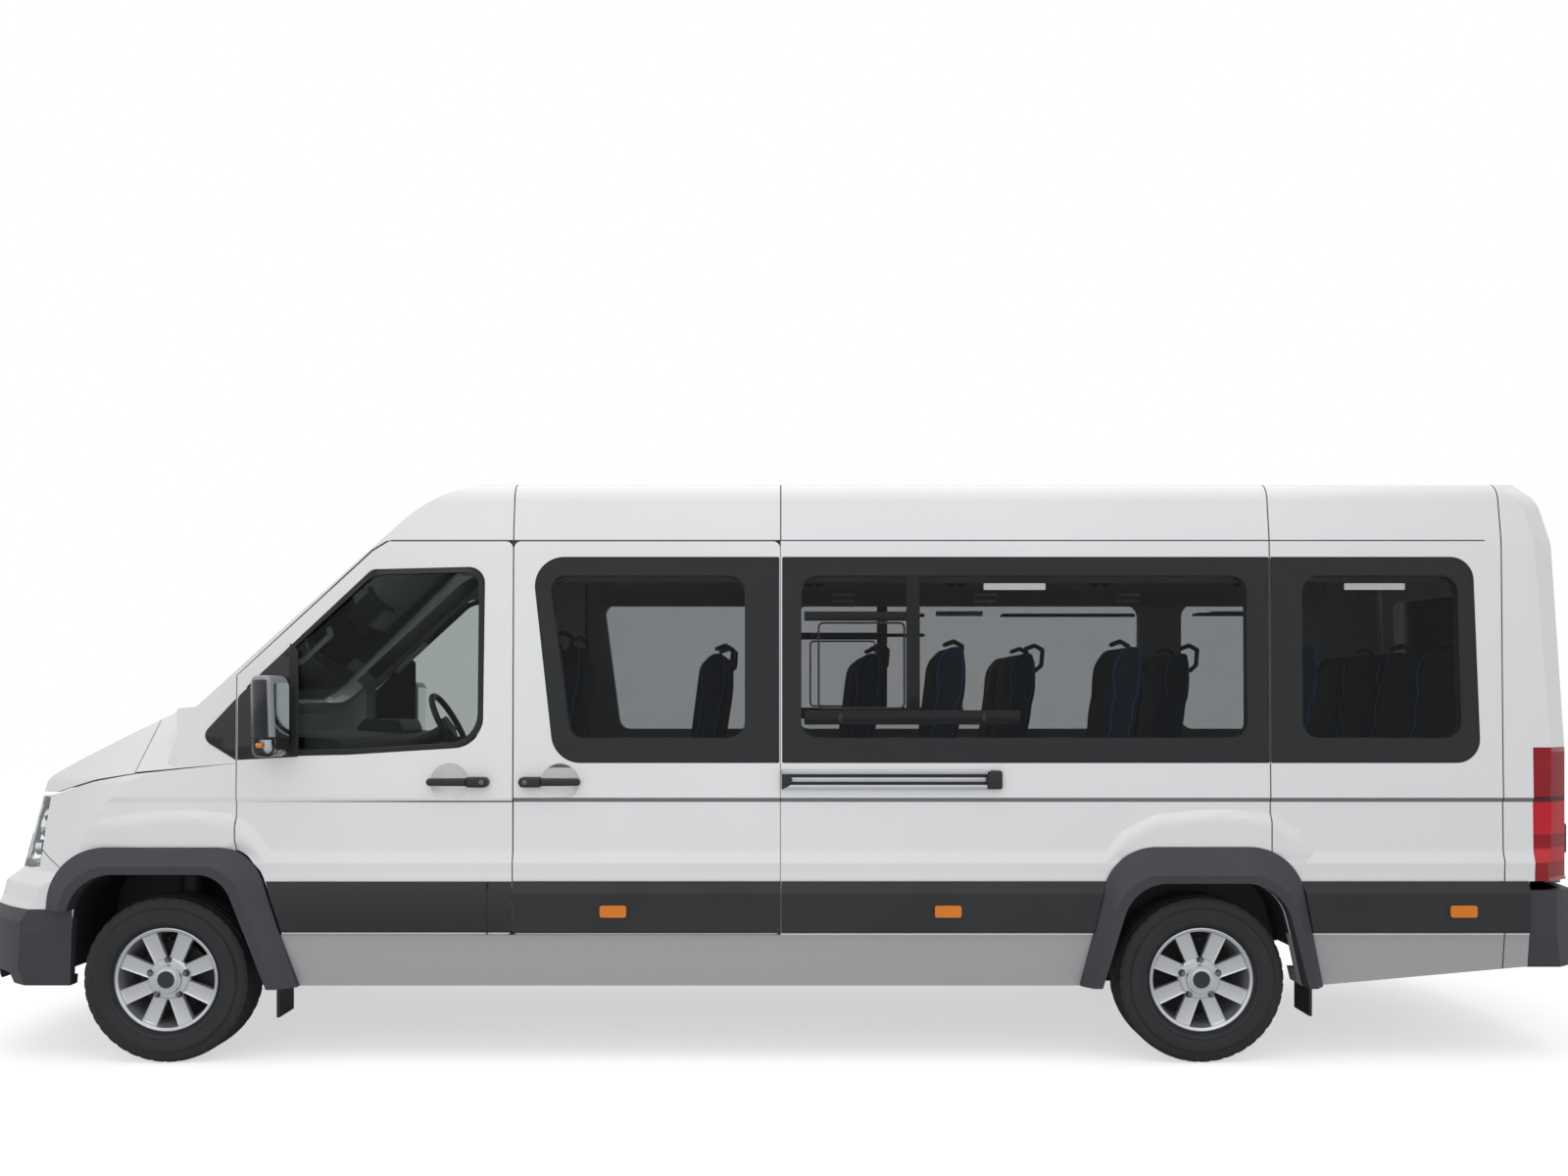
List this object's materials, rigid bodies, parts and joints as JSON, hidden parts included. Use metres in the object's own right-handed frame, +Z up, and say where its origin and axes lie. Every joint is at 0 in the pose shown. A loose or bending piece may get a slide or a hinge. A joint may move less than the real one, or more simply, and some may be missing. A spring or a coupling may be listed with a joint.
{
  "type": "minibus",
  "caption": "Long high-roof minibus with a sliding passenger door, hinged cab and rear doors, opening bonnet, steering and rolling wheels.",
  "frame": {"origin": "on the ground under the middle of the body's length and width", "axes": "+X forward, +Y to the vehicle's left, +Z up"},
  "size_m": [7.0098, 2.5356, 2.5399],
  "materials": {
    "body_paint": "gloss white paint",
    "dark_plastic": "grained dark grey plastic",
    "grille_plastic": "gloss black plastic",
    "lamp_lens": "clear lens",
    "tail_lens": "red lens",
    "amber_lens": "amber lens",
    "tinted_glass": "tinted glass",
    "clear_glass": "clear glass",
    "tyre": "rubber",
    "alloy": "cast alloy",
    "underbody": "black chassis paint",
    "cast": "cast iron",
    "steel": "steel",
    "dash_plastic": "dark grey soft plastic",
    "seat_fabric": "charcoal fabric with blue edges",
    "floor_vinyl": "grey floor covering",
    "trim_grey": "light grey lining"
  },
  "bodies": {
    "body": {"roof_panel": "body_paint", "side_panel_left": "body_paint", "side_panel_right": "body_paint", "cab_frame": "body_paint", "front_wings": "body_paint", "front_fascia": "body_paint", "front_bumper": "dark_plastic", "front_grille": "grille_plastic", "headlamps": "lamp_lens", "windscreen": "clear_glass", "wipers": "dark_plastic", "sliding_door": "body_paint", "sliding_door_handle": "dark_plastic", "side_windows_left": "tinted_glass", "side_windows_right": "tinted_glass", "rear_bumper": "dark_plastic", "tail_lamps": "tail_lens", "arch_trims": "dark_plastic", "side_mouldings": "dark_plastic", "mudflaps": "dark_plastic", "marker_lamps": "amber_lens", "sliding_door_rail": "steel", "floor_pan": "floor_vinyl", "wheel_liners": "dark_plastic", "chassis_frame": "underbody", "engine_block": "cast", "front_subframe": "underbody", "rear_axle": "underbody", "rear_springs": "underbody", "propshaft": "underbody", "exhaust_pipe": "steel", "fuel_tank": "dark_plastic", "dashboard": "dash_plastic", "seats": "seat_fabric", "seat_frames": "underbody", "ceiling_trim": "trim_grey"},
    "knuckle_left": {"knuckle_left": "cast"},
    "cab_door_left": {"cab_door_left": "body_paint", "cab_glass_left": "clear_glass", "cab_handle_left": "dark_plastic", "mirror_left": "dark_plastic"},
    "rear_door_left": {"rear_door_left": "body_paint", "rear_glass_left": "tinted_glass"},
    "knuckle_right": {"knuckle_right": "cast"},
    "cab_door_right": {"cab_door_right": "body_paint", "cab_glass_right": "clear_glass", "cab_handle_right": "dark_plastic", "mirror_right": "dark_plastic"},
    "rear_door_right": {"rear_door_right": "body_paint", "rear_glass_right": "tinted_glass"},
    "wheel_front_left": {"tyre_front_left": "tyre", "rim_front_left": "alloy"},
    "wheel_front_right": {"tyre_front_right": "tyre", "rim_front_right": "alloy"},
    "wheel_rear_left": {"tyre_rear_left": "tyre", "rim_rear_left": "alloy"},
    "wheel_rear_right": {"tyre_rear_right": "tyre", "rim_rear_right": "alloy"},
    "bonnet": {"bonnet": "body_paint"},
    "steering_wheel": {"steering_wheel": "dash_plastic"}
  },
  "joints": [
    {"name": "steer_left", "type": "hinge", "parent": "body", "child": "knuckle_left", "pos_m": [2.596, 0.8425, 0.354], "axis": [0, 0, 1], "range_deg": [-35, 35]},
    {"name": "steer_right", "type": "hinge", "parent": "body", "child": "knuckle_right", "pos_m": [2.596, -0.8425, 0.354], "axis": [0, 0, 1], "range_deg": [-35, 35]},
    {"name": "wheel_front_left_spin", "type": "hinge", "parent": "knuckle_left", "child": "wheel_front_left", "pos_m": [2.596, 0.8725, 0.354], "axis": [0, 1, 0], "continuous": true},
    {"name": "wheel_front_right_spin", "type": "hinge", "parent": "knuckle_right", "child": "wheel_front_right", "pos_m": [2.596, -0.8725, 0.354], "axis": [0, 1, 0], "continuous": true},
    {"name": "wheel_rear_left_spin", "type": "hinge", "parent": "body", "child": "wheel_rear_left", "pos_m": [-1.804, 0.8725, 0.354], "axis": [0, 1, 0], "continuous": true},
    {"name": "wheel_rear_right_spin", "type": "hinge", "parent": "body", "child": "wheel_rear_right", "pos_m": [-1.804, -0.8725, 0.354], "axis": [0, 1, 0], "continuous": true},
    {"name": "steering_wheel_turn", "type": "hinge", "parent": "body", "child": "steering_wheel", "pos_m": [1.72, -0.45, 1.4], "axis": [-0.8829, 0, 0.4695], "range_deg": [-600, 600]},
    {"name": "cab_door_left_hinge", "type": "hinge", "parent": "body", "child": "cab_door_left", "pos_m": [2.294, 0.99, 1], "axis": [0, 0, -1], "range_deg": [0, 70]},
    {"name": "cab_door_right_hinge", "type": "hinge", "parent": "body", "child": "cab_door_right", "pos_m": [2.294, -0.99, 1], "axis": [0, 0, 1], "range_deg": [0, 70]},
    {"name": "rear_door_left_hinge", "type": "hinge", "parent": "body", "child": "rear_door_left", "pos_m": [-3.445, 0.812, 1.4], "axis": [0, 0, -1], "range_deg": [0, 180]},
    {"name": "rear_door_right_hinge", "type": "hinge", "parent": "body", "child": "rear_door_right", "pos_m": [-3.445, -0.812, 1.4], "axis": [0, 0, 1], "range_deg": [0, 180]},
    {"name": "bonnet_hinge", "type": "hinge", "parent": "body", "child": "bonnet", "pos_m": [2.699, 0, 1.508], "axis": [0, -1, 0], "range_deg": [0, 60]}
  ],
  "couplings": [
    {"joint": "steer_right", "follows": "steer_left", "ratio": 1},
    {"joint": "steering_wheel_turn", "follows": "steer_left", "ratio": 17}
  ]
}
